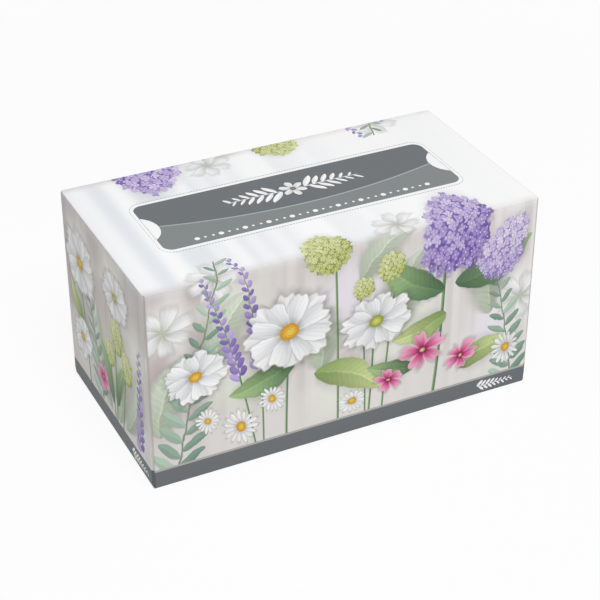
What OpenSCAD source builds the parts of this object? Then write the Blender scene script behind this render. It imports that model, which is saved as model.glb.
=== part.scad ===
// Sealed tissue carton: one paperboard blank, folded and glued shut round its pack of tissues.
// The origin is the middle of the base, X runs along the length, Y to the back and Z up.

/* [Carton] */
// Length of the closed carton, over both end closures
carton_l = 222; // [180:1:260]
// Depth of the closed carton, front to back
carton_w = 118; // [100:1:150]
// Height of the closed carton
carton_h = 115.5; // [60:0.5:160]

/* [Board] */
// Thickness of the paperboard
board_t = 0.45; // [0.3:0.05:0.8]
// Outside radius of a creased fold
fold_r = 0.9; // [0.5:0.1:2]

/* [End closures] */
// Room between the outer flap's side edge and the upright fold beside it
outer_flap_side_gap = 1.4; // [0.8:0.1:4]
// Room between the outer flap's free edge and the base
outer_flap_foot_gap = 1.8; // [1:0.1:6]
// Room between the inner flap's side edge and the upright fold beside it
inner_flap_side_gap = 1; // [0.8:0.1:4]
// Room between the inner flap's free edge and the top
inner_flap_head_gap = 20; // [5:1:40]
// Corner radius of a flap's free edge
flap_corner_r = 3; // [1:0.5:10]

/* [Glued seam] */
// Height of the back panel's free edge above the base
seam_gap = 1.2; // [0.6:0.1:4]

/* [Tear-off panel] */
// Length of the perforated outline
tear_l = 173.4; // [130:0.2:178]
// Width of the perforated outline
tear_w = 54.2; // [46:0.2:90]
// Corner radius of the perforated outline
tear_r = 7.6; // [3:0.2:9]
// Length of one slit in the perforation
slit_l = 1; // [0.6:0.1:2]
// Board left standing between two slits
tie_l = 0.6; // [0.3:0.1:1.2]
// Width of a slit
slit_w = 0.15; // [0.1:0.05:0.4]

/* [Thumb tabs] */
// Length of a thumb tab along its crease
tab_l = 24; // [16:0.5:26]
// Depth of a thumb tab, from its crease to the crown of its cut
tab_depth = 6.2; // [4:0.2:10]
// Distance from the perforated end to the tab's crease
tab_inset = 1.9; // [1:0.1:5]
// Length of one cut round a thumb tab
tab_cut_l = 4.6; // [2:0.1:8]
// Width of the pressed crease
crease_w = 0.7; // [0.4:0.1:1.2]
// Depth of the pressed crease
crease_depth = 0.15; // [0.05:0.05:0.25]

/* [Hidden] */
$fn = 64;

// How far a cut runs out past the face that it opens
overrun = 1;

// The three layers of an end closure lie on each other: dust flaps, inner flap, outer flap
inner_flap_l = carton_l - 2 * board_t;
sleeve_l = inner_flap_l - 2 * board_t;

// The tab's cut is an arc through both ends of the crease
tab_r = (pow(tab_l / 2, 2) + pow(tab_depth, 2)) / (2 * tab_depth);
tab_centre_x = tear_l / 2 - tab_inset - tab_depth + tab_r;
tab_half_angle = acos((tab_r - tab_depth) / tab_r);

// Straight stretches of the perforation
tear_side_run = tear_l - 2 * tear_r;
tear_end_run = tear_w - 2 * tear_r;

// Radius of the round rule that presses a crease of this width and depth
crease_r = (pow(crease_w / 2, 2) + pow(crease_depth, 2)) / (2 * crease_depth);

function arc_length(radius, angle) = PI * radius * angle / 180;
function arc_angle(radius, length) = 180 * length / (PI * radius);
function cut_count(run, cut_l) = max(1, round(run / (cut_l + tie_l)));

module rounded_rect(a, b, r) {
    square([a - 2 * r, b], center = true);
    square([a, b - 2 * r], center = true);
    for (i = [-1, 1], j = [-1, 1])
        translate([i * (a / 2 - r), j * (b / 2 - r)])
            circle(r);
}

// Outline in X and Z, carried along Y
module along_y(length) {
    rotate([90, 0, 0])
        linear_extrude(length, center = true)
            children();
}

// Outline in Y and Z, carried along X
module along_x(length) {
    rotate([90, 0, 90])
        linear_extrude(length, center = true)
            children();
}

// Section of the four panels: the back panel lies over the glue flap and stops short of the base
module sleeve_section() {
    translate([-board_t / 2, carton_h / 2])
        rounded_rect(carton_w - board_t, carton_h, fold_r);
    intersection() {
        translate([0, carton_h / 2])
            rounded_rect(carton_w, carton_h, fold_r);
        translate([-carton_w / 2, seam_gap])
            square([carton_w, carton_h]);
    }
}

// The four panels, closed at both ends by the dust flaps at the upright folds
module sleeve() {
    intersection() {
        along_x(sleeve_l)
            sleeve_section();
        linear_extrude(carton_h)
            rounded_rect(sleeve_l, carton_w, fold_r);
    }
}

// A panel folded down or up over both ends, with its flaps between two heights
module flap_pair(length, side_gap, low, high) {
    intersection() {
        along_y(carton_w)
            translate([0, carton_h / 2])
                rounded_rect(length, carton_h, fold_r);
        along_x(length)
            translate([0, (low + high) / 2])
                rounded_rect(carton_w - 2 * side_gap, high - low, flap_corner_r);
    }
}

// The inner flaps fold up from the base, so only their upper corners are free
module inner_flaps() {
    flap_pair(inner_flap_l, inner_flap_side_gap, -flap_corner_r, carton_h - inner_flap_head_gap);
}

// The outer flaps fold down from the top, so only their lower corners are free
module outer_flaps() {
    flap_pair(carton_l, outer_flap_side_gap, outer_flap_foot_gap, carton_h + flap_corner_r);
}

// Slits in a straight row along X, from the top face down through the board
module slit_row(run) {
    count = cut_count(run, slit_l);
    step = run / count;
    for (i = [0 : count - 1])
        translate([(i + 1 / 2) * step - run / 2 - slit_l / 2, -slit_w / 2, -board_t])
            cube([slit_l, slit_w, board_t + overrun]);
}

// Slits round an arc about the origin, starting on the X axis
module slit_arc(radius, angle, cut_l) {
    count = cut_count(arc_length(radius, angle), cut_l);
    step = angle / count;
    cut_angle = step - arc_angle(radius, tie_l);
    for (i = [0 : count - 1])
        rotate(i * step + (step - cut_angle) / 2)
            rotate_extrude(angle = cut_angle)
                translate([radius - slit_w / 2, -board_t])
                    square([slit_w, board_t + overrun]);
}

// Rounded outline of the panel that tears away
module perforation() {
    for (i = [0, 1], j = [0, 1])
        mirror([i, 0, 0])
            mirror([0, j, 0])
                translate([tear_l / 2 - tear_r, tear_w / 2 - tear_r, 0])
                    slit_arc(tear_r, 90, slit_l);
    for (side = [-1, 1]) {
        translate([0, side * tear_w / 2, 0])
            slit_row(tear_side_run);
        translate([side * tear_l / 2, 0, 0])
            rotate(90)
                slit_row(tear_end_run);
    }
}

// Half-moon that a thumb pushes in: an arc of long cuts, and a pressed crease to fold on
module thumb_tab() {
    translate([tab_centre_x, 0, 0])
        rotate(180 - tab_half_angle)
            slit_arc(tab_r, 2 * tab_half_angle, tab_cut_l);
    translate([tear_l / 2 - tab_inset, 0, crease_r - crease_depth])
        rotate([90, 0, 0])
            cylinder(h = tab_l - 2 * tie_l, r = crease_r, center = true);
}

module carton() {
    color("gainsboro")
        difference() {
            union() {
                sleeve();
                inner_flaps();
                outer_flaps();
            }
            translate([0, 0, carton_h]) {
                perforation();
                for (i = [0, 1])
                    mirror([i, 0, 0])
                        thumb_tab();
            }
        }
}

carton();
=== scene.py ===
import math
import bpy
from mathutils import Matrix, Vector


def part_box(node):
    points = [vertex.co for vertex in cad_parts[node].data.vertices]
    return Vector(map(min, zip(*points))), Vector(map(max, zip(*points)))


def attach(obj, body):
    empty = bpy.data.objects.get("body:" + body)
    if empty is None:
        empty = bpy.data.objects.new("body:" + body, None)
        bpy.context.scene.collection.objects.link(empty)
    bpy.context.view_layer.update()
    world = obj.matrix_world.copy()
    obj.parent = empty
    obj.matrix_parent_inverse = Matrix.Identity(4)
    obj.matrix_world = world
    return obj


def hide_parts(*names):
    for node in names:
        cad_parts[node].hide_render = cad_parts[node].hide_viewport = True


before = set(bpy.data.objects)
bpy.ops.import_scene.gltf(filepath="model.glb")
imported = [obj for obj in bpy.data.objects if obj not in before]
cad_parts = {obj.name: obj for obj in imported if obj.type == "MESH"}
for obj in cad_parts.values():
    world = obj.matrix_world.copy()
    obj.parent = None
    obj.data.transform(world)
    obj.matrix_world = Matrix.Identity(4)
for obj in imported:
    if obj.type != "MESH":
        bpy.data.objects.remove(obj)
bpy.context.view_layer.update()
cartonLow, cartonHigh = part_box("carton")
length, depth, height = cartonHigh - cartonLow
halfLong, halfDeep, tall = length * 500, depth * 500, height * 1000  # the print is in millimetres
print("frame loaded, carton", round(length, 4), round(depth, 4), round(height, 4))


def ink(red, green, blue):  # a colour as seen on the print, 0 to 255, for a shader socket
    def linear(part):
        part = part / 255
        return part / 12.92 if part <= 0.04045 else ((part + 0.055) / 1.055) ** 2.4
    return (linear(red), linear(green), linear(blue), 1.0)


class Wire:  # a node socket that can be used in plain sums
    def __init__(self, tree, socket=None):
        self.tree = tree
        self.socket = socket

    def node(self, kind, settings=None, inputs=None, out=0):
        made = self.tree.nodes.new(kind)
        for name, value in (settings or {}).items():
            setattr(made, name, value)
        for key, value in (inputs or {}).items():
            if isinstance(value, Wire):
                self.tree.links.new(value.socket, made.inputs[key])
            else:
                made.inputs[key].default_value = value
        if isinstance(out, tuple):
            return [Wire(self.tree, made.outputs[key]) for key in out]
        return Wire(self.tree, made.outputs[out])

    def sums(self, operation, *parts):
        return self.node("ShaderNodeMath", {"operation": operation}, dict(enumerate(parts)))

    def __add__(self, other):
        return self.sums("ADD", self, other)

    def __radd__(self, other):
        return self.sums("ADD", other, self)

    def __sub__(self, other):
        return self.sums("SUBTRACT", self, other)

    def __rsub__(self, other):
        return self.sums("SUBTRACT", other, self)

    def __mul__(self, other):
        return self.sums("MULTIPLY", self, other)

    def __rmul__(self, other):
        return self.sums("MULTIPLY", other, self)

    def __truediv__(self, other):
        return self.sums("DIVIDE", self, other)

    def __pow__(self, other):
        return self.sums("POWER", self, other)

    def __abs__(self):
        return self.sums("ABSOLUTE", self)


# carton, lengths in metres
carton = {
    "board": 0.00045,
    "foldRadius": 0.0009,
    "foldSteps": 4,
    "outerSideGap": 0.0014,
    "outerFootGap": 0.0018,
    "innerSideGap": 0.001,
    "flapCorner": 0.003,
    "flapCornerSteps": 6,
    "seamGap": 0.0012,
    "tearLength": 0.1734,
    "tearWidth": 0.0542,
    "tearRadius": 0.0076,
    "slit": 0.001,
    "tie": 0.0006,
    "slitWidth": 0.00015,
    "tabLength": 0.024,
    "tabDepth": 0.0062,
    "tabInset": 0.0019,
    "tabCut": 0.0046,
    "tabCutSteps": 5,
    "creaseWidth": 0.0007,
    "creaseDepth": 0.00015,
    "creaseSides": 48,
    "spare": 0.004,  # how far a cutting block reaches past the board
    "sameSpot": 1e-6,
    "smoothAngle": 40,
}


def pick(*pieces):  # selects these alone, the first as the active one
    bpy.ops.object.select_all(action="DESELECT")
    for piece in pieces:
        piece.select_set(True)
        bpy.context.view_layer.objects.active = pieces[0]


def editWhole():
    bpy.ops.object.mode_set(mode="EDIT")
    bpy.ops.mesh.select_all(action="SELECT")


def addBlock(name, corner, opposite):
    pick()
    low = Vector([min(pair) for pair in zip(corner, opposite)])
    high = Vector([max(pair) for pair in zip(corner, opposite)])
    bpy.ops.mesh.primitive_cube_add(size=1, location=(low + high) / 2)
    block = bpy.context.active_object
    block.name = name
    block.scale = high - low
    bpy.ops.object.transform_apply()
    return block


def near(a, b):
    return abs(a - b) < carton["sameSpot"]


def roundEdges(piece, test, radius, steps):  # the test gets an edge's middle and direction
    bpy.ops.object.mode_set(mode="EDIT")
    bpy.ops.mesh.select_mode(type="EDGE")
    bpy.ops.mesh.select_all(action="DESELECT")
    bpy.ops.object.mode_set(mode="OBJECT")
    points = piece.data.vertices
    for edge in piece.data.edges:
        a, b = (points[i].co for i in edge.vertices)
        edge.select = test((a + b) / 2, (b - a).normalized())
    bpy.ops.object.mode_set(mode="EDIT")
    bpy.ops.mesh.bevel(offset=radius, segments=steps, affect="EDGES")
    bpy.ops.object.mode_set(mode="OBJECT")


def cutAway(piece, tool):
    pick(piece)
    cut = piece.modifiers.new("cut", "BOOLEAN")
    cut.operation = "DIFFERENCE"
    cut.object = tool
    cut.solver = "EXACT"
    bpy.ops.object.modifier_apply(modifier=cut.name)
    bpy.data.objects.remove(tool, do_unlink=True)


def makeBlank(size):  # closed block, with the back panel stopping short of the base over the glue flap
    backY = depth / 2 - size["board"]
    block = addBlock("printedCarton", (-length / 2, -depth / 2, size["seamGap"]),
                     (length / 2, depth / 2, height))
    editWhole()
    bpy.ops.mesh.bisect(plane_co=(0, backY, 0), plane_no=(0, 1, 0))
    bpy.ops.mesh.select_mode(type="FACE")
    bpy.ops.mesh.select_all(action="DESELECT")
    bpy.ops.object.mode_set(mode="OBJECT")
    for face in block.data.polygons:
        face.select = face.normal.z < -0.5 and face.center.y < backY
    bpy.ops.object.mode_set(mode="EDIT")
    bpy.ops.mesh.extrude_region_move(TRANSFORM_OT_translate={"value": (0, 0, -size["seamGap"])})
    bpy.ops.object.mode_set(mode="OBJECT")
    return block


def cutEnd(block, size, side):  # leaves the outer flap on the inner flap, and that on the dust flaps
    spare = size["spare"]
    flapX, innerX, dustX = (side * (length / 2 - layers * size["board"]) for layers in range(3))
    outX = flapX + 2 * side * spare
    flapY = depth / 2 - size["outerSideGap"]
    around = addBlock("around", (innerX, -depth / 2 - spare, -spare),
                      (flapX + side * spare, depth / 2 + spare, height + spare))
    flap = addBlock("flap", (innerX - side * spare, -flapY, size["outerFootGap"]),
                    (outX, flapY, height + 2 * spare))
    roundEdges(flap, lambda middle, along: abs(along.x) > 0.5 and near(middle.z, size["outerFootGap"]),
               size["flapCorner"], size["flapCornerSteps"])
    cutAway(around, flap)
    cutAway(block, around)
    for edge in (-1, 1):
        strip = addBlock("strip", (dustX, edge * (depth / 2 - size["innerSideGap"]), -spare),
                         (outX, edge * (depth / 2 + spare), height + spare))
        cutAway(block, strip)


def roundFolds(block, size):
    backY = depth / 2 - size["board"]
    flapX, innerX, dustX = (length / 2 - layers * size["board"] for layers in range(3))

    def isFold(middle, along):
        x, y, z = abs(middle.x), middle.y, middle.z
        if abs(along.x) > 0.5:
            return near(z, height) and near(abs(y), depth / 2) or near(z, 0)
        if abs(along.z) > 0.5:
            return near(x, dustX) and (near(abs(y), depth / 2) or near(y, backY) and z < size["seamGap"])
        return near(x, flapX) and near(z, height) or near(x, innerX) and near(z, 0)
    editWhole()
    bpy.ops.mesh.dissolve_limited(angle_limit=math.radians(1))  # no stray edges across a flat panel
    bpy.ops.object.mode_set(mode="OBJECT")
    roundEdges(block, isFold, size["foldRadius"], size["foldSteps"])


def makeSlit(size, x, y, turn):  # one die-cut slit, board deep
    half = size["slit"] / 2
    slit = addBlock("slit", (-half, -size["slitWidth"] / 2, height - size["board"]),
                    (half, size["slitWidth"] / 2, height + size["board"]))
    slit.rotation_euler.z = turn
    slit.location = (x, y, 0)
    bpy.ops.object.transform_apply()
    return slit


def slitPlaces(size):  # straight stretches and corners of the perforation, as x, y and turn
    pitch = size["slit"] + size["tie"]
    endX, sideY, radius = size["tearLength"] / 2, size["tearWidth"] / 2, size["tearRadius"]

    def spread(run):
        count = round(run / pitch)
        return [(i + 0.5) * run / count - run / 2 for i in range(count)]
    places = []
    for x in spread(2 * (endX - radius)):
        places += [(x, sideY, 0), (x, -sideY, 0)]
    for y in spread(2 * (sideY - radius)):
        places += [(endX, y, math.pi / 2), (-endX, y, math.pi / 2)]
    count = round(radius * math.pi / 2 / pitch)
    for i in range(count):
        turn = (i + 0.5) * math.pi / 2 / count
        x = endX - radius + radius * math.cos(turn)
        y = sideY - radius + radius * math.sin(turn)
        places += [(a * x, b * y, a * b * (turn + math.pi / 2)) for a in (-1, 1) for b in (-1, 1)]
    return places


def tabCircle(size):  # centre, radius and half angle of a thumb tab's cut
    radius = ((size["tabLength"] / 2) ** 2 + size["tabDepth"] ** 2) / (2 * size["tabDepth"])
    centre = size["tearLength"] / 2 - size["tabInset"] - size["tabDepth"] + radius
    return centre, radius, math.acos((radius - size["tabDepth"]) / radius)


def makeTabCuts(size):  # long curved cuts round one thumb tab, and its pressed crease
    centre, radius, halfAngle = tabCircle(size)
    count = round(2 * halfAngle * radius / (size["tabCut"] + size["tie"]))
    step = 2 * halfAngle / count
    cutAngle = step - size["tie"] / radius
    cuts = []
    for i in range(count):
        pick()
        bpy.ops.mesh.primitive_plane_add(size=1)
        cut = bpy.context.active_object
        cut.scale = (size["slitWidth"], 2 * size["board"], 1)
        cut.rotation_euler.x = math.pi / 2
        cut.location = (radius, 0, height)
        bpy.ops.object.transform_apply()
        editWhole()
        bpy.ops.mesh.spin(steps=size["tabCutSteps"], angle=-cutAngle, center=(0, 0, 0), axis=(0, 0, 1))
        bpy.ops.mesh.select_all(action="SELECT")
        bpy.ops.mesh.normals_make_consistent(inside=False)
        bpy.ops.object.mode_set(mode="OBJECT")
        cut.rotation_euler.z = math.pi - halfAngle + i * step + (step - cutAngle) / 2
        cut.location.x = centre
        bpy.ops.object.transform_apply()
        cuts.append(cut)
    creaseRadius = ((size["creaseWidth"] / 2) ** 2 + size["creaseDepth"] ** 2) / (2 * size["creaseDepth"])
    creaseX = size["tearLength"] / 2 - size["tabInset"]
    pick()
    bpy.ops.mesh.primitive_cylinder_add(vertices=size["creaseSides"], radius=creaseRadius,
                                        depth=size["tabLength"] - 2 * size["tie"],
                                        location=(creaseX, 0, height + creaseRadius - size["creaseDepth"]),
                                        rotation=(math.pi / 2, 0, 0))
    bpy.ops.object.transform_apply()
    cuts.append(bpy.context.active_object)
    return cuts


def joinAll(pieces):
    pick(*pieces)
    bpy.ops.object.join()
    return pieces[0]


def turnedCopy(piece):  # the same piece at the other end
    pick(piece)
    bpy.ops.object.duplicate()
    copy = bpy.context.active_object
    copy.rotation_euler.z = math.pi
    bpy.ops.object.transform_apply()
    return copy


def makeCarton(size):
    box = makeBlank(size)
    for side in (-1, 1):
        cutEnd(box, size, side)
    roundFolds(box, size)
    print("folded the board,", len(box.data.polygons), "faces")
    slits = [makeSlit(size, *place) for place in slitPlaces(size)]
    count = len(slits)
    tabs = joinAll(makeTabCuts(size))
    cutAway(box, joinAll(slits + [tabs, turnedCopy(tabs)]))
    print("cut the tear-off panel,", count, "slits,", len(box.data.polygons), "faces")
    pick(box)
    editWhole()
    for across in ((0, 1, 0), (1, 0, 0)):  # the print changes sheets along the middle, both ways
        bpy.ops.mesh.bisect(plane_co=(0, 0, 0), plane_no=across)
        bpy.ops.mesh.select_all(action="SELECT")
    bpy.ops.mesh.remove_doubles(threshold=size["sameSpot"])
    bpy.ops.object.mode_set(mode="OBJECT")
    bpy.ops.object.shade_smooth_by_angle(angle=math.radians(size["smoothAngle"]))
    weighted = box.modifiers.new("panelNormals", "WEIGHTED_NORMAL")
    weighted.keep_sharp = True
    bpy.ops.object.modifier_apply(modifier=weighted.name)
    return box


box = makeCarton(carton)
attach(box, "root")
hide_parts("carton")

# where each panel lies on the bake sheet, in metres: corner along and up, and its share of full size
bakeSheet = {
    "side": 0.356,
    "panels": {"front": (0.001, 0.001, 1), "top": (0.001, 0.1185, 1), "back": (0.001, 0.2385, 1),
               "leftEnd": (0.225, 0.001, 1), "rightEnd": (0.225, 0.1185, 1), "base": (0.225, 0.236, 0.5)},
    "skinShare": 0.45,  # share of a fold's radius that still counts as its panel
    "edgeCorner": (0.225, 0.298),
    "edgeCell": 0.0019,
    "edgeReach": 0.4,
    "edgeRow": 68,
}


def panelOf(face, size):
    skin = size["foldRadius"] * bakeSheet["skinShare"]
    axis = max(range(3), key=lambda i: abs(face.normal[i]))
    x, y, z = face.center
    up = face.normal[axis] > 0
    if axis == 2 and up and z > height - skin:
        return "top"
    if axis == 2 and not up and z < skin:
        return "base"
    if axis == 1 and not up and y < skin - depth / 2:
        return "front"
    if axis == 1 and up and y > depth / 2 - size["board"] - skin:
        return "back"
    if axis == 0 and abs(x) > length / 2 - 2 * size["board"] - skin:
        return "rightEnd" if up else "leftEnd"
    return "edge"


def inkOf(face, panel, size):  # cut edges of the end flaps take the end's print
    x, y, z = face.center
    if panel != "edge":
        return panel
    if z > height - 2 * size["board"] and abs(face.normal.z) < 0.99 or near(z, height - size["board"]):
        return "slit"
    if abs(x) > length / 2 - 2 * size["board"] - size["foldRadius"]:
        return "rightEnd" if x > 0 else "leftEnd"
    return "edge"


def onPanel(panel, point):  # along and up, as seen from outside
    x, y, z = point
    return {"front": (x, z), "back": (-x, z), "leftEnd": (-y, z), "rightEnd": (y, z)}.get(panel, (x, y))


def flatPlace(panel, point, isBack):  # on the printed sheet, where the top goes on from front or back
    along, up = onPanel(panel, point)
    if panel != "top":
        return along, up
    return (-along, height + depth / 2 - up) if isBack else (along, height + depth / 2 + up)


def bakePlace(panel, point):
    along, up = onPanel(panel, point)
    left, low, share = bakeSheet["panels"][panel]
    half = depth / 2 if panel.endswith("End") else length / 2
    if panel in ("top", "base"):
        up += depth / 2
    return left + share * (along + half), low + share * up


def edgePlace(number, turn):  # each cut edge has a small cell of its own on the bake sheet
    cell, reach, row = (bakeSheet[key] for key in ("edgeCell", "edgeReach", "edgeRow"))
    left, low = bakeSheet["edgeCorner"]
    return (left + cell * (number % row + 0.5 + reach * math.cos(turn)),
            low + cell * (number // row + 0.5 + reach * math.sin(turn)))


def mapPrint(box, size):  # one map for the print, one for the bake, and a material for each kind of face
    mesh = box.data
    printMap = mesh.uv_layers.new(name="printSheet")
    bakeMap = mesh.uv_layers.new(name="OFBake")
    slots = {"front": 0, "back": 0, "top": 2, "leftEnd": 4, "rightEnd": 4, "base": 5, "edge": 5, "slit": 6}
    halved = ("front", "back", "top")  # these have a second material on their right half
    edges = 0
    for face in mesh.polygons:
        panel = panelOf(face, size)
        seen = inkOf(face, panel, size)
        isBack = face.center.y > 0
        isRight = flatPlace(seen, face.center, isBack)[0] > 0
        face.material_index = slots[seen] + (isRight and seen in halved)
        for step, loop in enumerate(face.loop_indices):
            point = mesh.vertices[mesh.loops[loop].vertex_index].co
            printMap.data[loop].uv = flatPlace(seen, point, isBack)
            if panel == "edge":
                place = edgePlace(edges, 2 * math.pi * step / face.loop_total)
            else:
                place = bakePlace(panel, point)
            bakeMap.data[loop].uv = (place[0] / bakeSheet["side"], place[1] / bakeSheet["side"])
        edges += panel == "edge"
    printMap.active = True
    print("print mapped,", edges, "cut edges")


def smooth(value, low, high, start=0.0, end=1.0):
    return value.node("ShaderNodeMapRange", {"interpolation_type": "SMOOTHSTEP"},
                      {0: value, 1: low, 2: high, 3: start, 4: end})


def mix(mask, under, over):
    return mask.node("ShaderNodeMix", {"data_type": "RGBA"}, {0: mask, 6: under, 7: over}, 2)


def dim(colour, share):
    return share.node("ShaderNodeMix", {"data_type": "RGBA", "clamp_factor": False},
                      {0: share, 6: (0, 0, 0, 1), 7: colour}, 2)


def most(a, b):
    return a.sums("MAXIMUM", a, b)


def far(x, y):
    together = y.sums("MULTIPLY_ADD", y, y, x * x)
    return together.sums("SQRT", together)


def angleOf(x, y):
    return y.sums("ARCTAN2", y, x)


def wave(angle):
    return angle.sums("COSINE", angle)


def part(value):
    return value.sums("FRACT", value)


def chance(number):  # 0 to 1, the same for the same number
    return part(wave(number * 12.9898) * 437.585)


def ripple(along):
    return wave(along * 5.3) * 0.25 + wave(along * 11.9 + 1.7) * 0.25 + 0.5


def grain(along, scale):
    return along.node("ShaderNodeTexNoise", {"noise_dimensions": "1D"},
                      {"W": along, "Scale": scale, "Detail": 1.0})


def makeGroup(draw, colours, numbers):  # a motif as a node group that paints over what is under it
    tree = bpy.data.node_groups.new(draw.__name__, "ShaderNodeTree")
    kinds = [("under", "Color")] + [(label, "Float") for label in ["x", "y"] + numbers.split()]
    kinds += [(label, "Color") for label in colours.split()]
    for label, kind in kinds:
        tree.interface.new_socket(label, in_out="INPUT", socket_type="NodeSocket" + kind)
    tree.interface.new_socket("painted", in_out="OUTPUT", socket_type="NodeSocketColor")
    start = tree.nodes.new("NodeGroupInput")
    painted = draw(**{label: Wire(tree, start.outputs[label]) for label, kind in kinds})
    end = tree.nodes.new("NodeGroupOutput")
    tree.links.new(painted.socket, end.inputs["painted"])
    return tree


class Sheet:  # part of the printed sheet, with its place in millimetres along and up
    def __init__(self, x, y, left, right, low, high):
        self.x = x
        self.y = y
        self.middle = ((left + right) / 2, (low + high) / 2)
        self.half = ((right - left) / 2, (high - low) / 2)

    def holds(self, x, y, span):
        across, up = abs(x - self.middle[0]), abs(y - self.middle[1])
        return across < self.half[0] + span and up < self.half[1] + span


def stamp(under, group, sheet, at, span, turn, wide, high, **inputs):  # a motif in its own coordinates
    if not sheet.holds(*at, span + 2):
        return under
    cos, sin = math.cos(math.radians(turn)), math.sin(math.radians(turn))
    # too small to see: it makes a motif wait for the paint under it, so the shader holds fewer values
    wait = under.node("ShaderNodeSeparateColor", None, {0: under}) * 1e-7
    x, y = sheet.x + wait, sheet.y + wait

    def along(a, b):
        return x.sums("MULTIPLY_ADD", x, a, y.sums("MULTIPLY_ADD", y, b, -at[0] * a - at[1] * b))
    return under.node("ShaderNodeGroup", {"node_tree": group},
                      {"under": under, "x": along(cos / wide, sin / wide),
                       "y": along(-sin / high, cos / high), **inputs})


def petalRing(under, x, y, petals, base, point, notch, spin, soft, tip, middle, heart):
    out = far(x, y)
    angle = angleOf(x, y) * (petals * (0.5 / math.pi)) + (spin + 50)
    across = part(angle) - 0.5
    number = angle - across
    number = number.sums("FLOORED_MODULO", number, petals) + spin
    luck = chance(number)
    side = abs(across) * 2
    ruffle = ripple(across * 1.9 + number * 3.1)
    reach = luck * 0.12 + ruffle * 0.08 + 0.84
    reach = reach - (1 - base) * side ** point - smooth(side, 0.4, 0.0, 0.0, notch)
    edge = out - reach
    along = out / reach
    streak = ripple(across * 6 + number * 3.7)
    shade = smooth(across, -0.3, 0.5, 1.02, 0.8) * smooth(along, 0.05, 0.7, 0.8, 1.0) \
        * smooth(streak, 0.1, 0.9, 0.93, 1.02) * smooth(luck, 0.0, 1.0, 0.93, 1.02)
    colour = mix(smooth(along, 0.35, 1.0), middle, tip)
    colour = mix(smooth(along, 0.45, 0.1), colour, heart)
    shadow = smooth(edge, 0.26, -0.05, 1.0, 0.7)
    return mix(smooth(edge, soft, 0 - soft), dim(under, shadow), dim(colour, shade))


def flowerEye(under, x, y, size, rim, core):
    out = far(x, y) / size
    turn = angleOf(x, y)
    dots = wave(turn * 8 + out * 9) * wave(turn * 13 - out * 9)  # crossing spirals, as seeds grow
    colour = dim(mix(smooth(out, 0.1, 0.95), core, rim), smooth(dots, -0.5, 0.6, 0.84, 1.06))
    return mix(smooth(out, 1.1, 0.88), dim(under, smooth(out, 1.9, 1.0, 1.0, 0.84)), colour)


def leafBlade(under, x, y, width, bend, soft, dark, light):
    arch = most(x * (1 - x), 0.0001) * 4
    across = (y - arch * bend) / (arch ** 0.8 * width * (1.2 - x * 0.4))
    side = most(abs(across), abs(x - 0.5) * 200 - 99)
    ribs = (x - side * 0.14) * 13
    shade = smooth(side, 0.0, 0.12, 1.25, 1.0) * smooth(across, -0.15, 0.15, 0.86, 1.05) \
        * smooth(ribs.sums("PINGPONG", ribs, 0.5), 0.0, 0.25, 1.08, 1.0) * smooth(side, 0.5, 1.0, 1.0, 0.88)
    colour = dim(mix(smooth(x, 0.0, 1.0), dark, light), shade)
    return mix(smooth(side, 1 + soft, 1 - soft), dim(under, smooth(side, 2.0, 0.8, 1.0, 0.82)), colour)


def stemLine(under, x, y, width, bend, soft, dark, light):
    across = (y - x * x * bend) / width
    inside = smooth(abs(across), 1 + soft, 1 - soft) * smooth(abs(x - 0.5), 0.505, 0.495)
    return mix(inside, under, mix(smooth(across, -0.8, 0.8), dark, light))


def leafSpray(under, x, y, count, reach, lean, bend, fat, soft, dark, light, stalk):
    off = y - x * x * bend
    side = abs(off)
    upper = off.sums("GREATER_THAN", off, 0)
    row = x - side * lean + upper * 0.5
    across = part(row) - 0.5
    number = row - across
    luck = chance(number * 1.7 + upper)
    taper = smooth(number, count, 0.0, 0.45, 1.0) * smooth(luck, 0.0, 1.0, 0.85, 1.05)
    out = side / (taper * reach)
    arch = most(out * (1 - out), 0.0001) * 4
    over = across / (arch ** 0.7 * taper * fat)
    half = count * 0.5
    blade = smooth(most(abs(over), out * 40 - 39), 1 + soft, 1 - soft)
    blade = blade * smooth(abs(number - half), half, half - 0.1)
    shade = smooth(abs(over), 0.0, 0.16, 1.12, 1.0) * smooth(over, -0.15, 0.15, 0.9, 1.04)
    line = smooth(side, soft * 0.2 + smooth(x, 0.0, count, 0.085, 0.04), 0.02)  # thinner to its tip
    line = line * smooth(abs(x - half), half, half - 0.2)
    return mix(blade, mix(line, under, stalk), dim(mix(luck, dark, light), shade))


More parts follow.
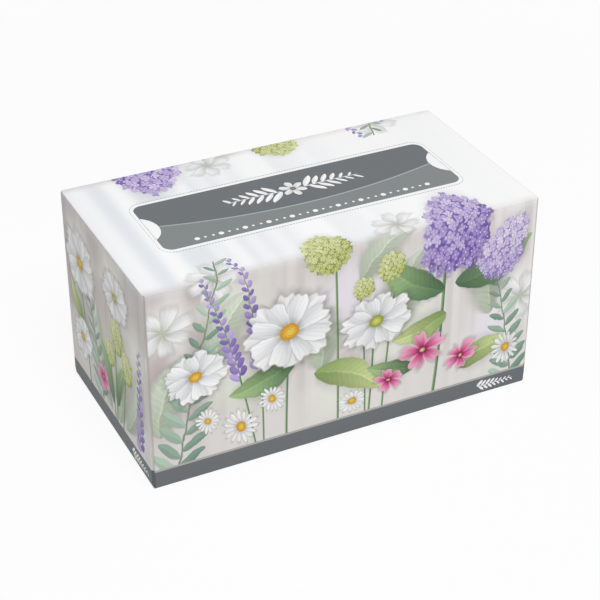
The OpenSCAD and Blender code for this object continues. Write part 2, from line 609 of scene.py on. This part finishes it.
def floretHead(under, x, y, cells, narrow, lobes, soft, deep, middle, pale):
    def headOf(x, y):  # 1 at the outline of the flower head, narrower to its top
        return far(x * (y * narrow + 1.12), y)

    head = headOf(x, y)
    painted = mix(smooth(head, 1.0, 0.7), dim(under, smooth(head, 1.35, 0.8, 1.0, 0.86)), deep)
    for turn, dark, light in ((5, deep, middle), (35, deep, pale), (65, middle, pale)):  # layers of florets
        cos, sin = math.cos(math.radians(turn)), math.sin(math.radians(turn))
        gridY = (y * cos - x * sin) * cells + turn
        offY = part(gridY) - 0.5
        row = gridY - offY
        gridX = (x * cos + y * sin) * cells + chance(row) * 5
        offX = part(gridX) - 0.5
        luck = chance((gridX - offX) * 1.29 + row * 7.21)
        offX = offX - (luck - 0.5) * 0.2
        offY = offY - (part(luck * 7.7) - 0.5) * 0.2
        out = far(offX, offY)
        lobe = wave(angleOf(offX, offY) * lobes + luck * 6.28) * 0.5 + 0.5  # 0 between two petals
        edge = out - (0.44 - (1 - lobe) ** 2 * 0.17)
        homeX = x - (offX * cos - offY * sin) / cells
        homeY = y - (offX * sin + offY * cos) / cells
        inside = smooth(headOf(homeX, homeY), 0.98, 0.93)
        colour = mix((homeY - homeX) * 0.35 + luck * 0.7, dark, light)
        colour = dim(colour, smooth(lobe, 0.0, 0.5, 0.8, 1.0) * smooth(out, 0.1, 0.4, 0.86, 1.05))
        colour = mix(smooth(out, 0.11, 0.05), colour, pale)
        painted = dim(painted, 1 - smooth(edge, 0.08, -0.02) * inside * 0.22)
        painted = mix(smooth(edge, 0.05 + soft, -0.03) * inside, painted, colour)
    return painted


def softBlossom(under, x, y, petals, amount, colour):  # out of focus
    out = far(x, y) * (wave(angleOf(x, y) * petals) * 0.1 + 1)
    return mix(smooth(out, 1.0, 0.0) * amount, under, colour)


def beadRow(under, x, y, count, colour):  # each third bead is larger
    off = part(x + 0.5) - 0.5
    number = x - off
    large = smooth(part(number / 3 + 0.5), 0.4, 0.5) * smooth(part(number / 3 + 0.5), 0.6, 0.5)
    edge = far(off, y) - (large * 0.16 + 0.16)
    return mix(smooth(edge, 0.05, -0.05) * smooth(abs(number), count + 0.5, count), under, colour)


petalRing = makeGroup(petalRing, "tip middle heart", "petals base point notch spin soft")
flowerEye = makeGroup(flowerEye, "rim core", "size")
leafBlade = makeGroup(leafBlade, "dark light", "width bend soft")
stemLine = makeGroup(stemLine, "dark light", "width bend soft")
leafSpray = makeGroup(leafSpray, "dark light stalk", "count reach lean bend fat soft")
floretHead = makeGroup(floretHead, "deep middle pale", "cells narrow lobes soft")
softBlossom = makeGroup(softBlossom, "colour", "petals amount")
beadRow = makeGroup(beadRow, "colour", "count")

# forms and inks of the motifs
whiteFlower = {"petals": 8.0, "base": 0.5, "point": 3.2, "notch": 0.05, "soft": 0.03,
               "tip": ink(250, 250, 250), "middle": ink(238, 239, 242), "heart": ink(205, 214, 190)}
softFlower = {**whiteFlower, "soft": 0.09, "heart": ink(214, 216, 150)}
farFlower = {"petals": 7.0, "base": 0.5, "point": 3.0, "notch": 0.05, "soft": 0.2,
             "tip": ink(246, 246, 246), "middle": ink(238, 239, 238), "heart": ink(222, 226, 208)}
pinkFlower = {"petals": 5.0, "base": 0.42, "point": 3.0, "notch": 0.12, "soft": 0.035,
              "tip": ink(243, 178, 206), "middle": ink(222, 92, 150), "heart": ink(168, 26, 102)}
softPink = {**pinkFlower, "soft": 0.1}
daisy = {"petals": 15.0, "base": 0.3, "point": 2.6, "notch": 0.0, "soft": 0.04,
         "tip": ink(250, 250, 250), "middle": ink(240, 241, 243), "heart": ink(214, 216, 200)}
goldEye = {"rim": ink(214, 150, 44), "core": ink(236, 206, 84)}
limeEye = {"rim": ink(150, 160, 60), "core": ink(214, 216, 120)}
wineEye = {"rim": ink(120, 16, 70), "core": ink(240, 214, 150)}
leafGreen = {"dark": ink(86, 118, 86), "light": ink(160, 188, 134)}
springGreen = {"dark": ink(140, 164, 102), "light": ink(202, 212, 152)}
farGreen = {"dark": ink(176, 187, 167), "light": ink(212, 219, 203)}
stalkInk = {"dark": ink(78, 112, 84), "light": ink(140, 172, 120)}
greyGreen = {"reach": 1.7, "lean": 0.7, "fat": 0.42,
             "dark": ink(124, 152, 136), "light": ink(186, 206, 188), "stalk": ink(132, 140, 116)}
violetSpike = {"reach": 1.15, "lean": 0.6, "fat": 0.6,
               "dark": ink(128, 102, 180), "light": ink(194, 176, 226), "stalk": ink(120, 146, 112)}
lilac = {"narrow": 0.36, "lobes": 4.0,
         "deep": ink(118, 94, 168), "middle": ink(166, 144, 210), "pale": ink(230, 219, 244)}
paleLilac = {"narrow": 0.36, "lobes": 4.0,
             "deep": ink(152, 132, 192), "middle": ink(194, 177, 222), "pale": ink(240, 233, 247)}
limeBall = {"narrow": 0.0, "lobes": 5.0,
            "deep": ink(148, 158, 82), "middle": ink(196, 204, 124), "pale": ink(236, 238, 194)}


# x, y and reach in millimetres on the sheet, turn in degrees
def openFlower(paint, sheet, x, y, turn, reach, squash=0.9, eye=goldEye, kind=whiteFlower,
               eyeSize=0.2, rings=2):
    for ring in range(rings):  # the back ring shows between the petals of the front one
        size = reach * (1.0 - 0.1 * ring)
        paint = stamp(paint, petalRing, sheet, (x, y), reach * 1.25, turn, size, size * squash,
                      spin=x * 0.37 + 0.5 * ring, **kind)
    if eye is None:
        return paint
    return stamp(paint, flowerEye, sheet, (x, y), reach * eyeSize * 2, turn, reach, reach * squash,
                 size=eyeSize, **eye)


def leaf(paint, sheet, x, y, turn, reach, bend=0.08, green=leafGreen, width=0.2, soft=0.06):
    return stamp(paint, leafBlade, sheet, (x, y), reach * 1.1, turn, reach, reach,
                 width=width, bend=bend, soft=soft, **green)


def stem(paint, sheet, x, y, turn, reach, thick, bend, soft=0.3):
    return stamp(paint, stemLine, sheet, (x, y), reach, turn, reach, reach,
                 width=thick / reach / 2, bend=bend, soft=soft, **stalkInk)


def spray(paint, sheet, x, y, turn, pitch, count, kind, bend=0.0, soft=0.1):
    return stamp(paint, leafSpray, sheet, (x, y), pitch * (count + 1), turn, pitch, pitch,
                 count=float(count), bend=bend, soft=soft, **kind)


def cluster(paint, sheet, x, y, turn, wide, high, cells, kind, soft=0.06):
    return stamp(paint, floretHead, sheet, (x, y), max(wide, high) * 1.35, turn, wide, high,
                 cells=cells, soft=soft, **kind)


def haze(paint, sheet, x, y, reach, colour, amount=0.8):
    return stamp(paint, softBlossom, sheet, (x, y), reach * 1.1, x, reach, reach,
                 petals=5.0, amount=amount, colour=colour)


# print of front, top and back, lowest layer first: how it is drawn, what its motifs share, their places
wrapPrint = {
    "hazes": (haze, {}, [
        (-100, 96, 28, ink(248, 247, 244)), (-62, 98, 26, ink(234, 237, 226)),
        (2, 88, 32, ink(236, 231, 242)), (40, 84, 26, ink(248, 247, 246)),
        (100, 62, 28, ink(248, 247, 244)), (-8, 30, 24, ink(232, 235, 224)),
        (86, 42, 24, ink(236, 231, 241)), (34, 58, 26, ink(226, 233, 216)),
        (-62, 50, 26, ink(222, 229, 214))]),
    "farLeaves": (leaf, {"green": farGreen, "soft": 0.55}, [
        (-76, 64, 62, 46, 0.1), (-16, 44, 104, 50, -0.1), (28, 56, 74, 48, 0.1),
        (84, 52, 112, 46, -0.12), (-106, 30, 72, 48, 0.1), (6, 92, 40, 40, 0.12)]),
    "farFlowers": (openFlower, {"squash": 0.85, "eye": None, "kind": farFlower, "rings": 1}, [
        (-102, 92, 10, 17), (44, 82, 30, 14), (103, 58, 0, 16), (-74, 116, 50, 15), (30, 124, 20, 13)]),
    "sprays": (spray, {}, [
        (-97, 6, 80, 9.2, 14, greyGreen, -0.004), (-50, 58, 96, 5.2, 14, violetSpike, 0.004),
        (-61, 54, 104, 4.8, 14, violetSpike, 0.005), (101, 6, 98, 8.0, 11, greyGreen, 0.006)]),
    "stems": (stem, {}, [
        (-6, 6, 90, 98, 1.2, 0.02), (20, 6, 87, 90, 1.1, -0.03), (10, 6, 90, 78, 1.0, 0.05),
        (51, 6, 84, 82, 1.8, 0.05), (-36, 6, 90, 68, 1.3, -0.03), (-53, 6, 98, 50, 1.0, 0.04),
        (-49, 6, 90, 54, 1.0, 0.02), (12, 6, 86, 60, 1.2, 0.03)]),
    "lilacLeaves": (leaf, {}, [
        (56, 74, 146, 46), (62, 76, 24, 50, -0.1), (58, 60, 196, 34, 0.08, springGreen)]),
    "lilacHeads": (cluster, {}, [
        (63, 113, -8, 22, 31, 4.6, lilac), (92, 92, -30, 14, 20, 3.8, paleLilac)]),
    "limeHeads": (cluster, {"kind": limeBall}, [
        (-12, 116, 0, 15, 15, 4.4), (24, 97, 0, 9, 9, 3.6), (8, 88, 0, 7, 7, 3.6)]),
    "whiteLeaves": (leaf, {}, [(-30, 58, 200, 40), (-20, 44, -28, 44, 0.12, springGreen)]),
    "whiteFlowers": (openFlower, {}, [
        (16, 66, 10, 22, 0.82, limeEye), (-34, 74, 0, 27), (-86, 62, 20, 19, 0.8)]),
    "pinkLeaves": (leaf, {}, [(40, 32, 168, 30), (66, 22, 20, 34, 0.08, springGreen)]),
    "pinkFlowers": (openFlower, {"eye": wineEye, "kind": pinkFlower, "eyeSize": 0.16, "rings": 1}, [
        (44, 40, 15, 15), (68, 30, 40, 12, 0.75), (24, 27, -20, 10, 0.8)]),
    "daisies": (openFlower, {"squash": 0.85, "kind": daisy, "eyeSize": 0.28, "rings": 1}, [
        (-62, 24, -62, 11), (-80, 33, -80, 8), (-44, 36, -44, 8.5), (96, 27, 96, 11), (2, 20, 2, 8)]),
}

# the same for the ends, where the flowers are softer
endPrint = {
    "hazes": (haze, {"amount": 0.9}, [
        (-34, 92, 30, ink(250, 249, 243)), (14, 98, 26, ink(248, 246, 236)),
        (44, 74, 22, ink(236, 238, 226)), (8, 46, 30, ink(206, 216, 190)),
        (-42, 34, 22, ink(240, 240, 236)), (40, 26, 22, ink(236, 236, 234))]),
    "farLeaves": (leaf, {"green": farGreen, "width": 0.12, "soft": 0.6}, [
        (2, 14, 104, 62, 0.08), (14, 12, 84, 70, -0.06),
        (24, 14, 66, 58, -0.1), (-24, 40, 120, 40, 0.1)]),
    "sprays": (spray, {"soft": 0.4}, [
        (-10, 12, 98, 8.0, 10, greyGreen, 0.01), (44, 14, 86, 5.4, 12, violetSpike)]),
    "stems": (stem, {"thick": 1.4, "bend": 0.04, "soft": 0.7}, [
        (10, 8, 84, 62), (18, 8, 76, 50), (-30, 8, 92, 66), (8, 8, 92, 44)]),
    "limeLeaves": (leaf, {"width": 0.12, "soft": 0.3}, [(12, 22, 62, 38), (6, 20, 112, 36, -0.08)]),
    "whiteLeaf": (leaf, {"green": springGreen, "soft": 0.25}, [(-34, 46, 128, 28)]),
    "limeEyed": (openFlower, {"kind": softFlower, "eyeSize": 0.14}, [(18, 92, 15, 19, 0.8, limeEye)]),
    "goldEyed": (openFlower, {"kind": softFlower, "eyeSize": 0.16}, [(-34, 84, 0, 23)]),
    "limeHeads": (cluster, {"kind": limeBall, "soft": 0.2}, [
        (17, 68, 0, 9, 10.35, 3.0), (30, 56, 0, 8, 9.2, 3.0), (6, 52, 0, 7, 8.05, 3.0)]),
    "lowGoldEyed": (openFlower, {"kind": softFlower, "eyeSize": 0.16}, [(-38, 36, 30, 16, 0.8)]),
    "pinkFlowers": (openFlower, {"eye": wineEye, "kind": softPink, "eyeSize": 0.16, "rings": 1}, [
        (-8, 28, 15, 10)]),
}

# ground of the print: upright streaks, darker to the left and paler at the foot, and white over the top
ground = {"left": ink(178, 165, 164), "middle": ink(221, 215, 211), "leftFade": (-115.0, -10.0),
          "right": ink(236, 235, 235), "rightFade": (20.0, 105.0), "rightShare": 0.7,
          "wideStreak": 0.05, "bright": ink(238, 236, 234), "brightShare": 0.5,
          "fineStreak": 0.13, "shade": ink(196, 188, 185), "shadeShare": 0.4,
          "white": ink(254, 254, 254), "cool": ink(231, 235, 239), "coolFade": (60.0, -60.0),
          "topFade": (110.0, 123.0), "foot": ink(227, 224, 221), "footFade": (46.0, 20.0), "footShare": 0.7,
          "endTone": (0.93, 0.82), "endFade": (0.0, 100.0)}


def backdrop(sheet, tones):
    x, y = sheet.x, sheet.y
    wide = smooth(grain(x, tones["wideStreak"]), 0.35, 0.65)
    fine = smooth(grain(x, tones["fineStreak"]), 0.4, 0.7)
    paint = mix(smooth(x, *tones["leftFade"]), tones["left"], tones["middle"])
    paint = mix(smooth(x, *tones["rightFade"]) * tones["rightShare"], paint, tones["right"])
    paint = mix(wide * tones["brightShare"], paint, tones["bright"])
    paint = mix(fine * tones["shadeShare"], paint, tones["shade"])
    over = mix(wide * smooth(x, *tones["coolFade"], 0.1, 1.0), tones["white"], tones["cool"])
    paint = mix(smooth(y, *tones["topFade"]), paint, over)
    return mix(smooth(y, *tones["footFade"]) * tones["footShare"], paint, tones["foot"])


def paintLayers(paint, layers, flat, uneven):
    for draw, shared, places in layers.values():
        sheet = flat if draw is stem else uneven  # only stems have a true outline
        for place in places:
            paint = draw(paint, sheet, *place, **shared)
    return paint


# printed panel on the top, in millimetres from the middle of the top, with painted shade along the tab
# creases and round the slits
tearPrint = {"halfLength": 84.8, "halfWidth": 24.5, "corner": 5.5, "keyline": 2.0,
             "soft": 0.15, "fade": 0.35, "onTop": 0.4,
             "curveLow": -9.8, "curveSag": 10.0, "curveHalf": 78.5, "curveThick": 0.6,
             "creaseThick": 0.4, "creaseHalf": 11.9, "creaseShadeShare": 0.5,
             "beadLow": -19.6, "beadPitch": 4.4, "beads": 15.0,
             "sprayAt": (7, 6.5), "sprayTilt": 5, "sprayPitch": 5.2, "sprayPairs": 6, "sprayBend": -0.014,
             "rosetteAt": (0, 7), "rosetteReach": 8.4, "rosetteTurn": 18, "rosetteEye": 0.2,
             "upper": ink(108, 113, 116), "lower": ink(131, 136, 137), "curve": ink(178, 183, 184),
             "paper": ink(252, 252, 252), "rimShade": ink(194, 196, 198)}
# band round the foot, with a sprig on front, back and ends, and the border of the base
band = {"top": 10.2, "endTop": 11.5, "colour": ink(110, 114, 117), "soft": 0.1,
        "strip": 1.3, "stripColour": ink(176, 175, 172),
        "sprig": (80, 5.2, 0), "endSprig": (31, 5.8, 0), "sprigPitch": 2.8, "sprigPairs": 8,
        "baseBorder": 9.0, "baseCorner": 6.0, "base": ink(232, 231, 228), "baseFleck": ink(243, 242, 240)}
whiteRosette = {"petals": 6.0, "base": 0.35, "point": 2.2, "notch": 0.0, "soft": 0.03,
                "tip": ink(252, 252, 252), "middle": ink(252, 252, 252), "heart": ink(236, 238, 240)}
whiteSpray = {"reach": 1.8, "lean": 0.75, "fat": 0.42,
              "dark": ink(250, 250, 250), "light": ink(250, 250, 250), "stalk": ink(250, 250, 250)}
whiteSprig = {**whiteSpray, "reach": 1.3, "lean": 0.8}


def roundedEdge(x, y, halfLength, halfWidth, corner):  # distance outside a rounded outline, in millimetres
    outX = abs(x) - (halfLength - corner)
    outY = abs(y) - (halfWidth - corner)
    inner = outX.sums("MINIMUM", most(outX, outY), 0)
    return far(most(outX, 0), most(outY, 0)) + inner - corner


def slitRimShade(x, y, size):  # painted shade: a grey dash round each slit of the perforation, where its pressed rim is in shade
    endX, sideY, radius = size["tearLength"] * 500, size["tearWidth"] * 500, size["tearRadius"] * 1000
    pitch = (size["slit"] + size["tie"]) * 1000
    cornerX, cornerY = abs(x) - (endX - radius), abs(y) - (sideY - radius)

    def slits(run):
        return round(run / pitch)
    sideRun, endRun, cornerRun = 2 * (endX - radius), 2 * (sideY - radius), radius * math.pi / 2
    alongSide = (x + sideRun / 2) * (slits(sideRun) / sideRun)
    alongEnd = (y + endRun / 2) * (slits(endRun) / endRun)
    alongCorner = angleOf(cornerX, cornerY) * (slits(cornerRun) / (math.pi / 2))
    onSide = cornerX.sums("LESS_THAN", cornerX, 0)
    onEnd = cornerY.sums("LESS_THAN", cornerY, 0)
    along = alongSide * onSide + (1 - onSide) * (alongEnd * onEnd + alongCorner * (1 - onEnd))
    off = abs(roundedEdge(x, y, endX, sideY, radius))
    dash = smooth(abs(part(along) - 0.5), 0.42, 0.3)
    return smooth(off, 0.42, 0.2) * dash * smooth(cornerX, 0.0, radius, 1.0, 0.15)  # faint along the ends


def paintTear(paint, plan, design):
    x, y, z = plan
    soft, fade, keyline, thick = (design[key] for key in ("soft", "fade", "keyline", "curveThick"))
    edge = roundedEdge(x, y, design["halfLength"], design["halfWidth"], design["corner"])
    isTop = z.sums("GREATER_THAN", z, tall - design["onTop"])
    paint = mix(smooth(edge, keyline + soft, keyline - fade) * isTop, paint, design["paper"])
    curve = y - (x * x * (design["curveSag"] / design["curveHalf"] ** 2) + design["curveLow"])
    panel = mix(smooth(curve, -0.2, 0.2), design["lower"], design["upper"])
    panel = mix(smooth(abs(curve), thick, thick - fade), panel, design["curve"])
    tabCentre, tabRadius, halfAngle = tabCircle(carton)
    tab = far(abs(x) - tabCentre * 1000, y) - tabRadius * 1000
    inside = smooth(edge, soft, -soft) * smooth(tab, -soft, soft) * isTop
    paint = mix(inside, paint, panel)
    # painted shade: a grey line along each thumb tab's pressed crease
    creaseShade = smooth(abs(abs(x) - design["halfLength"]), design["creaseThick"], soft)
    creaseShade = creaseShade * smooth(abs(y), design["creaseHalf"], design["creaseHalf"] - 0.4) * isTop
    paint = mix(creaseShade * design["creaseShadeShare"], paint, design["curve"])
    # painted shade round the slits
    paint = mix(slitRimShade(x, y, carton) * isTop, paint, design["rimShade"])
    sheet = Sheet(x, y, -halfLong, halfLong, -halfDeep, halfDeep)
    pitch, beads = design["beadPitch"], design["beads"]
    paint = stamp(paint, beadRow, sheet, (0, design["beadLow"]), pitch * (beads + 2), 0, pitch, pitch,
                  count=beads, colour=design["paper"])
    sprayX, sprayY = design["sprayAt"]
    for side in (1, -1):  # a leafy spray to each side of a small flower
        paint = spray(paint, sheet, sprayX * side, sprayY, 90 - 90 * side + design["sprayTilt"] * side,
                      design["sprayPitch"], design["sprayPairs"], whiteSpray,
                      design["sprayBend"] * side, soft=0.08)
    middle, reach, eye = design["rosetteAt"], design["rosetteReach"], design["rosetteEye"]
    paint = stamp(paint, petalRing, sheet, middle, reach * 1.2, design["rosetteTurn"], reach, reach,
                  spin=0.2, **whiteRosette)
    return stamp(paint, flowerEye, sheet, middle, reach * eye * 2, 0, reach, reach,
                 size=eye, rim=design["upper"], core=design["lower"])


# surface of the board: satin print over faint fibre and waves, and painted shade that darkens the print a
# little along the folds
finish = {"fibre": 900.0, "waves": 28.0, "relief": 0.06, "reliefHeight": 0.0002, "sheen": 0.15,
          "roughness": 0.5, "baseRoughness": 0.55, "foldReach": 1.1, "foldShade": 0.11,
          "uprightReach": 1.5, "uprightShade": 0.18, "slitShade": ink(92, 92, 94), "slitRoughness": 0.8,
          "wobble": 2.6, "wobbleScale": 110.0, "fleckScale": 500.0}


def inMillimetres(place):
    scaled = place.node("ShaderNodeVectorMath", {"operation": "SCALE"}, {0: place, "Scale": 1000.0})
    return place.node("ShaderNodeSeparateXYZ", None, {0: scaled}, (0, 1, 2))


# painted shade: darkens the print within about a millimetre of the top folds and of the upright folds
# beside the end flaps
def paintedFoldShade(place):
    x, y, z = inMillimetres(place)
    flapStep = 2000 * carton["board"]

    def rise(value, edge, reach):
        return smooth(value, edge - reach, edge - reach * 0.4)
    level, upright = finish["foldReach"], finish["uprightReach"]
    topFoldShade = rise(z, tall, level) * most(rise(abs(y), halfDeep, level), rise(abs(x), halfLong, level))
    sideFoldShade = rise(abs(x), halfLong - flapStep, level) * rise(abs(y), halfDeep, upright)
    return most(topFoldShade * finish["foldShade"], sideFoldShade * finish["uprightShade"]) * -1 + 1


def noise(place, scale, detail):
    return place.node("ShaderNodeTexNoise", None, {"Vector": place, "Scale": scale, "Detail": detail})


def boardShader(tree, colour, roughness=finish["roughness"]):
    start = Wire(tree)
    place = start.node("ShaderNodeTexCoord", out="Object")
    # painted shade along the folds
    colour = dim(colour, paintedFoldShade(place))
    fibre = noise(place, finish["fibre"], 2.0)
    waves = noise(place, finish["waves"], 1.0)
    relief = start.node("ShaderNodeBump", None, {"Height": fibre + waves * 2, "Strength": finish["relief"],
                                                 "Distance": finish["reliefHeight"]})
    gloss = smooth(fibre, 0.3, 0.7, roughness - 0.05, roughness + 0.06)
    shader = start.node("ShaderNodeBsdfPrincipled", None,
                        {"Base Color": colour, "Roughness": gloss, "Normal": relief,
                         "Specular IOR Level": finish["sheen"]})
    start.node("ShaderNodeOutputMaterial", None, {"Surface": shader}, ())


def newMaterial(name):
    material = bpy.data.materials.new(name)
    material.use_nodes = True
    material.node_tree.nodes.clear()
    return material


def printSheetOf(tree, left, right, low, high):  # the sheet as it is, and with a wobble for uneven outlines
    place = Wire(tree).node("ShaderNodeUVMap", {"uv_map": "printSheet"})
    x, y, z = inMillimetres(place)
    hue = place.node("ShaderNodeTexNoise", {"noise_dimensions": "2D"},
                     {"Vector": place, "Scale": finish["wobbleScale"], "Detail": 2.0}, 1)
    along, up = place.node("ShaderNodeSeparateColor", None, {0: hue}, (0, 1))
    edges = (left, right, low, high)
    flat = Sheet(x, y, *edges)
    return flat, Sheet(x + (along - 0.5) * finish["wobble"], y + (up - 0.5) * finish["wobble"], *edges)


def paintBand(paint, sheet, top, strip, sprig):
    soft = band["soft"]
    if strip:
        paint = mix(smooth(sheet.y, top + strip + soft, top + strip - soft), paint, band["stripColour"])
    paint = mix(smooth(sheet.y, top + soft, top - soft), paint, band["colour"])
    return spray(paint, sheet, *sprig, band["sprigPitch"], band["sprigPairs"], whiteSprig, soft=0.12)


def frontMaterial(name, left, right):
    material = newMaterial(name)
    flat, uneven = printSheetOf(material.node_tree, left, right, 0, tall)
    paint = paintLayers(backdrop(flat, ground), wrapPrint, flat, uneven)
    boardShader(material.node_tree, paintBand(paint, flat, band["top"], band["strip"], band["sprig"]))
    return material


def topMaterial(name, left, right):
    material = newMaterial(name)
    tree = material.node_tree
    plan = inMillimetres(Wire(tree).node("ShaderNodeTexCoord", out="Object"))
    flat, uneven = printSheetOf(tree, left, right, tall, tall + halfDeep)
    unbroken = Sheet(plan[0], flat.y, left, right, tall, tall)  # the ground has no break along the middle
    paint = paintLayers(backdrop(unbroken, ground), wrapPrint, flat, uneven)
    boardShader(tree, paintTear(paint, plan, tearPrint))
    return material


def endMaterial():
    material = newMaterial("endPrint")
    flat, uneven = printSheetOf(material.node_tree, -halfDeep, halfDeep, 0, tall)
    shaded = dim(backdrop(flat, ground), smooth(flat.y, *ground["endFade"], *ground["endTone"]))
    paint = paintLayers(shaded, endPrint, flat, uneven)
    boardShader(material.node_tree, paintBand(paint, flat, band["endTop"], 0, band["endSprig"]))
    return material


def baseMaterial():  # plain board inside a border of the band's colour
    material = newMaterial("basePrint")
    tree = material.node_tree
    place = Wire(tree).node("ShaderNodeTexCoord", out="Object")
    x, y, z = inMillimetres(place)
    fleck = smooth(noise(place, finish["fleckScale"], 3.0), 0.35, 0.7)
    paint = mix(fleck, band["base"], band["baseFleck"])
    border = band["baseBorder"]
    edge = roundedEdge(x, y, halfLong - border, halfDeep - border, band["baseCorner"])
    boardShader(tree, mix(smooth(edge, -0.15, 0.15), paint, band["colour"]), finish["baseRoughness"])
    return material


def slitMaterial():
    material = newMaterial("slitShade")
    start = Wire(material.node_tree)
    shader = start.node("ShaderNodeBsdfPrincipled", None,
                        {"Base Color": finish["slitShade"], "Roughness": finish["slitRoughness"]})
    start.node("ShaderNodeOutputMaterial", None, {"Surface": shader}, ())
    return material


mapPrint(box, carton)
left, right = (-halfLong, 0), (0, halfLong)
for material in (frontMaterial("frontPrintLeft", *left), frontMaterial("frontPrintRight", *right),
                 topMaterial("topPrintLeft", *left), topMaterial("topPrintRight", *right),
                 endMaterial(), baseMaterial(), slitMaterial()):
    box.data.materials.append(material)
print("print painted")

# camera, as the photograph was taken
camera = {"azimuth": -26.014, "elevation": 32.095, "away": 0.94909, "right": 0.00063, "up": 0.04248,
          "lens": 101.83}
# pale floor in white surroundings, and one large soft lamp beside the camera
studio = {"floorSize": 6.0, "floorDrop": 0.0001, "floor": ink(244, 244, 244), "floorGlow": 0.9,
          "floorFade": (0.25, 1.2), "white": (1, 1, 1, 1), "ambient": 0.35}
lamp = {"azimuth": -14, "elevation": 61, "away": 2.0, "size": 1.2, "power": 27.5}


def outward(place):  # from the box towards the camera or the lamp
    azimuth, elevation = math.radians(place["azimuth"]), math.radians(place["elevation"])
    return Vector((math.sin(azimuth) * math.cos(elevation), -math.cos(azimuth) * math.cos(elevation),
                   math.sin(elevation)))


def placeCamera(view):
    back = outward(view)
    right = (-back).cross(Vector((0, 0, 1))).normalized()
    up = right.cross(-back)
    bpy.ops.object.camera_add(location=back * view["away"] + right * view["right"] + up * view["up"])
    eye = bpy.context.active_object
    eye.rotation_euler = (-back).to_track_quat("-Z", "Y").to_euler()
    eye.data.lens = view["lens"]
    bpy.context.scene.camera = eye


def placeLamp(light):
    away = outward(light)
    bpy.ops.object.light_add(type="AREA", location=away * light["away"])
    source = bpy.context.active_object
    source.rotation_euler = (-away).to_track_quat("-Z", "Y").to_euler()
    source.data.size = light["size"]
    source.data.energy = light["power"]


def seenRay(start):  # 1 for what the camera sees, straight or by gloss or through glass
    direct, glossy, through = start.node("ShaderNodeLightPath",
                                         out=("Is Camera Ray", "Is Glossy Ray", "Is Transmission Ray"))
    return most(direct, most(glossy, through))


def layFloor(light):  # it keeps the shadow near the box and is white by the horizon
    pick()
    bpy.ops.mesh.primitive_plane_add(size=light["floorSize"], location=(0, 0, -light["floorDrop"]))
    floor = bpy.context.active_object
    floor.name = "floor"
    material = newMaterial("floorWhite")
    start = Wire(material.node_tree)
    matt = start.node("ShaderNodeBsdfDiffuse", inputs={"Color": light["floor"]})
    glow = start.node("ShaderNodeEmission", inputs={"Color": light["white"], "Strength": 1.0})
    place = start.node("ShaderNodeTexCoord", out="Object")
    x, y, z = start.node("ShaderNodeSeparateXYZ", inputs={0: place}, out=(0, 1, 2))
    share = smooth(far(x, y), *light["floorFade"], light["floorGlow"], 1.0)
    mixed = start.node("ShaderNodeMixShader", inputs={0: seenRay(start) * share, 1: matt, 2: glow})
    start.node("ShaderNodeOutputMaterial", inputs={"Surface": mixed}, out=())
    floor.data.materials.append(material)


def lightSky(light):
    world = bpy.data.worlds.new("studio")
    bpy.context.scene.world = world
    world.use_nodes = True
    world.node_tree.nodes.clear()
    start = Wire(world.node_tree)
    strength = seenRay(start) * (1 - light["ambient"]) + light["ambient"]
    sky = start.node("ShaderNodeBackground", inputs={"Color": light["white"], "Strength": strength})
    start.node("ShaderNodeOutputWorld", inputs={"Surface": sky}, out=())


placeCamera(camera)
layFloor(studio)
lightSky(studio)
placeLamp(lamp)
bpy.context.scene.view_settings.view_transform = "Standard"
print("studio lit")
